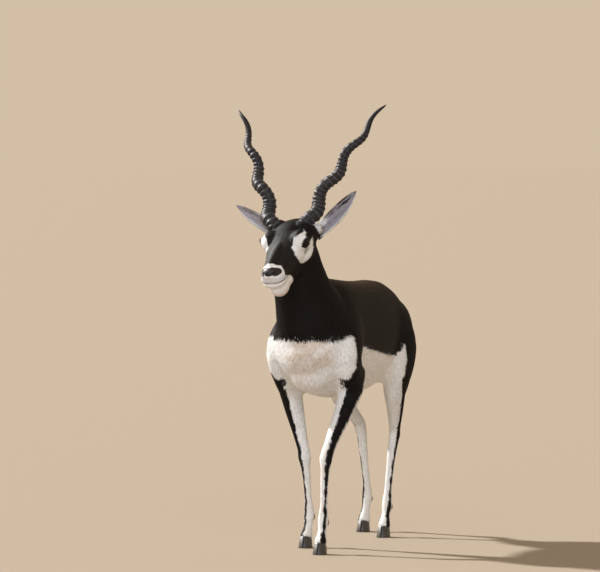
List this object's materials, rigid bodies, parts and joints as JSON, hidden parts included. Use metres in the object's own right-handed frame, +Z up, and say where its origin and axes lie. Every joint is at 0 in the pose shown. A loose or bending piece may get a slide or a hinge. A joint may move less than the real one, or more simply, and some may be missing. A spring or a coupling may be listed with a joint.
{
  "type": "blackbuck",
  "caption": "Life-size standing male blackbuck antelope with ringed corkscrew horns, black and white coat and cloven hooves, in a slow walk.",
  "frame": {"origin": "on the floor, at the centre of the part's footprint box", "axes": "+Z up, the animal faces -Y, its left side is +X"},
  "size_m": [0.454, 1.0931, 1.2444],
  "materials": {
    "coat_black": "short matt black-brown hair",
    "coat_white": "short matt white hair",
    "ear_coat": "thin grey hair, dark streaks inside",
    "horn": "dark ringed keratin, satin",
    "eye": "wet dark brown",
    "hoof": "black keratin, satin"
  },
  "bodies": {
    "root": {"torso": "coat_black", "neck": "coat_black", "head": "coat_black", "tail": "coat_black", "leg_front_left": "coat_white", "leg_front_right": "coat_white", "leg_hind_left": "coat_white", "leg_hind_right": "coat_white", "ear_left": "ear_coat", "ear_right": "ear_coat", "eye_left": "eye", "eye_right": "eye", "horn_left": "horn", "horn_right": "horn", "hoof_front_left_inner": "hoof", "hoof_front_left_outer": "hoof", "hoof_front_right_inner": "hoof", "hoof_front_right_outer": "hoof", "hoof_hind_left_inner": "hoof", "hoof_hind_left_outer": "hoof", "hoof_hind_right_inner": "hoof", "hoof_hind_right_outer": "hoof", "dewclaw_front_left_inner": "hoof", "dewclaw_front_left_outer": "hoof", "dewclaw_front_right_inner": "hoof", "dewclaw_front_right_outer": "hoof", "dewclaw_hind_left_inner": "hoof", "dewclaw_hind_left_outer": "hoof", "dewclaw_hind_right_inner": "hoof", "dewclaw_hind_right_outer": "hoof"}
  },
  "joints": []
}
